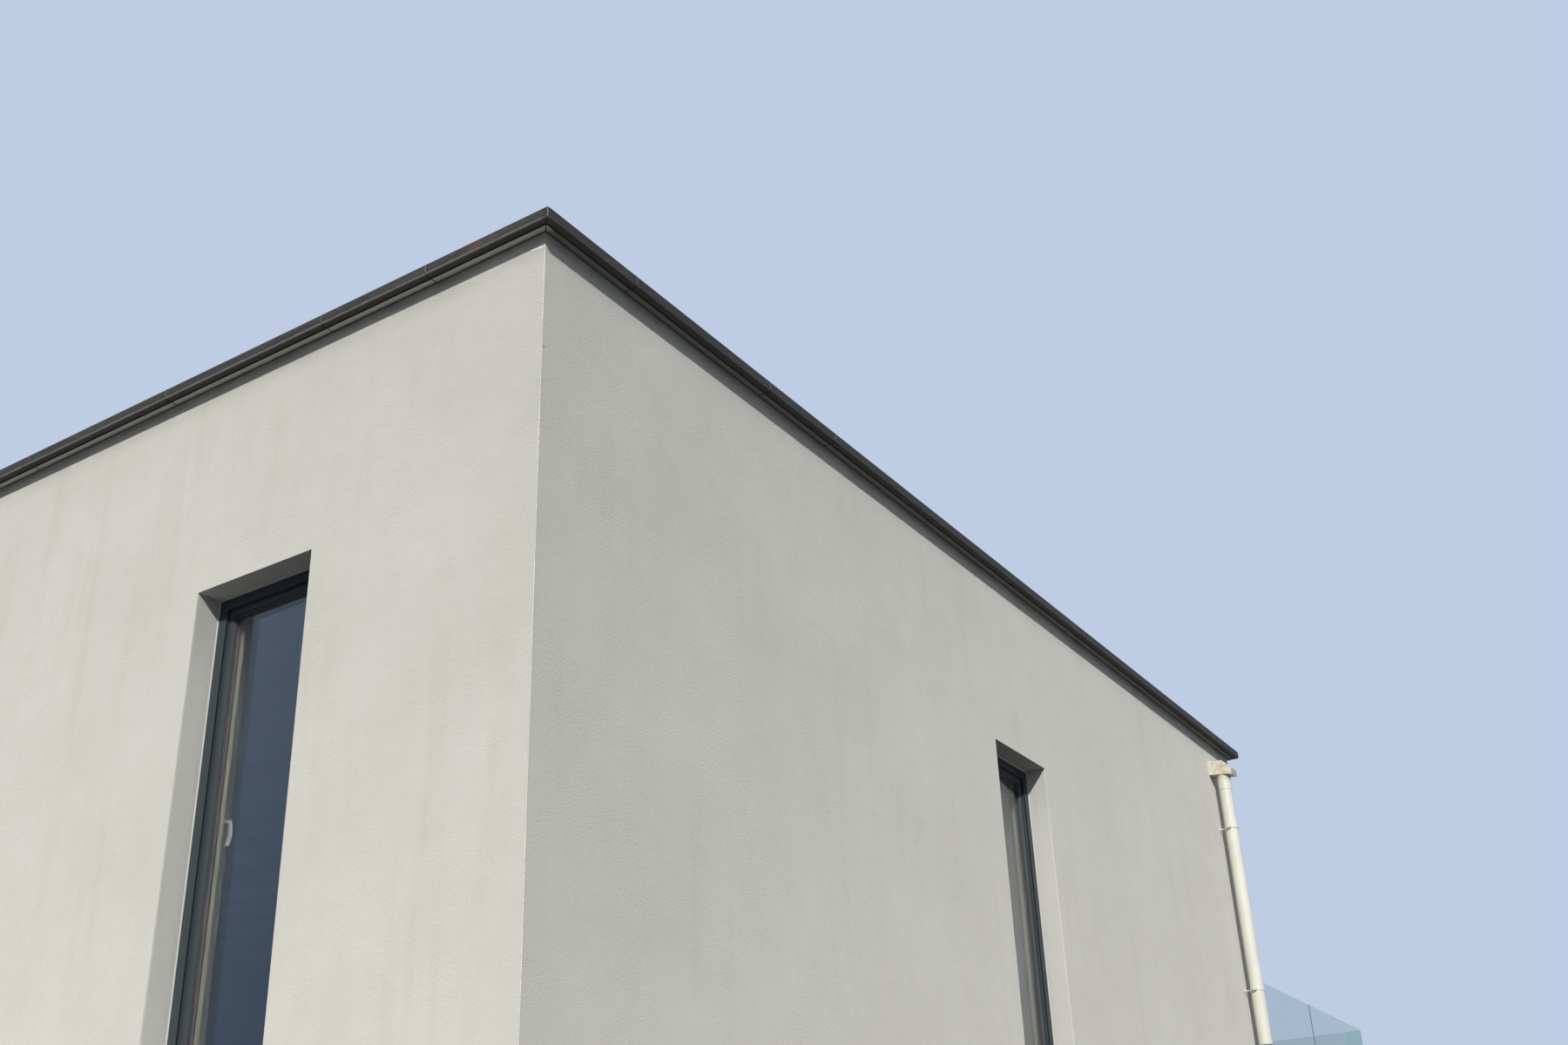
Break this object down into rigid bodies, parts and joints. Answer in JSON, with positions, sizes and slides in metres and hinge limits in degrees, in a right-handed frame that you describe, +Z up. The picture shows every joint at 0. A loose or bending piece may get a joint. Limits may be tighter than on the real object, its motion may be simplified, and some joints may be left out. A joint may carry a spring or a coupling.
{
  "type": "detached house",
  "caption": "Detached house of two storeys with pale rendered walls, a dark stone coping round a flat roof, tall narrow windows and a glazed roof terrace.",
  "frame": {"origin": "on the ground, under the middle of the plan", "axes": "+Z up, +X to the right along the front wall as seen from outside it, +Y from the front wall towards the terrace at the back"},
  "size_m": [9.149, 11.548, 6.131],
  "materials": {
    "render": "fine-grained mineral render, pale warm grey",
    "concrete": "plain concrete",
    "roof_membrane": "matt dark membrane",
    "paving": "flat grey paving",
    "coping_stone": "dark stone with worn pale edges",
    "frame_paint": "satin dark blue-grey",
    "window_glass": "clear sealed unit",
    "balustrade_glass": "clear, with a pale green edge",
    "sill_metal": "satin",
    "handle_metal": "satin, pale",
    "pipe_plastic": "cream, stained at the outlet",
    "collar_rubber": "matt grey-green"
  },
  "bodies": {
    "root": {"front_wall": "render", "right_wall": "render", "left_wall": "render", "upper_back_wall": "render", "lower_back_wall": "render", "ground_floor": "concrete", "first_floor": "concrete", "roof_slab": "concrete", "roof_cover": "roof_membrane", "terrace_paving": "paving", "front_coping": "coping_stone", "right_coping": "coping_stone", "back_coping": "coping_stone", "left_coping": "coping_stone", "terrace_coping": "coping_stone", "front_window_frames": "frame_paint", "right_window_frames": "frame_paint", "back_window_frames": "frame_paint", "left_window_frames": "frame_paint", "front_window_sashes": "frame_paint", "right_window_sashes": "frame_paint", "back_window_sashes": "frame_paint", "left_window_sashes": "frame_paint", "front_window_panes": "window_glass", "right_window_panes": "window_glass", "back_window_panes": "window_glass", "left_window_panes": "window_glass", "window_sills": "sill_metal", "window_handles": "handle_metal", "entrance_frame": "frame_paint", "entrance_leaf": "frame_paint", "terrace_door_frame": "frame_paint", "terrace_door_leaf": "frame_paint", "terrace_door_pane": "window_glass", "door_handles": "handle_metal", "balustrade_channel": "sill_metal", "balustrade_glass": "balustrade_glass", "outlet_box": "pipe_plastic", "downpipe": "pipe_plastic", "pipe_brackets": "pipe_plastic", "pipe_collar": "collar_rubber"}
  },
  "joints": []
}
